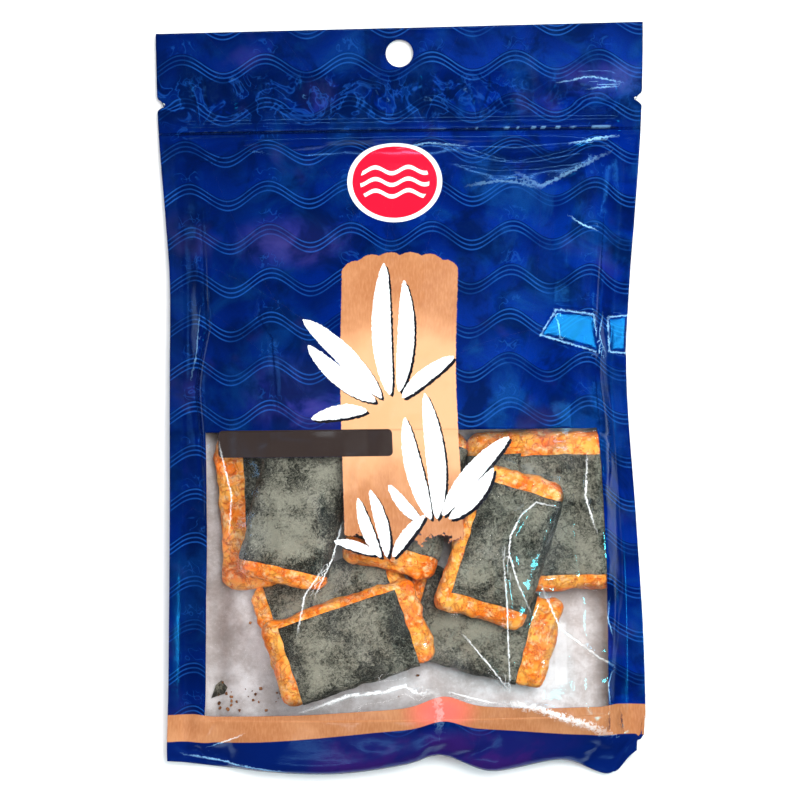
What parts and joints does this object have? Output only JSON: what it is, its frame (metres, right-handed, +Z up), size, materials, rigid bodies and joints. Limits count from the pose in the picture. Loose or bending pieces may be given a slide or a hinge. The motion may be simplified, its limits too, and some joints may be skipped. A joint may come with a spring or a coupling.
{
  "type": "snack pouch with window",
  "caption": "Flat zipper pouch of printed film with a clear window, filled with seaweed-wrapped rice crackers, with a hanging hole.",
  "frame": {"origin": "on the ground under the middle of the pouch's box", "axes": "+Z up, out of the front panel; +Y along the pouch towards the hanging hole; +X to the right as the front is read"},
  "size_m": [0.1604, 0.2473, 0.0266],
  "materials": {
    "printed_film": "glossy print",
    "clear_film": "clear glossy",
    "inner_film": "satin",
    "cracker": "toasted, glazed",
    "nori": "dry seaweed"
  },
  "bodies": {
    "root": {"pouch": "printed_film"}
  },
  "joints": []
}
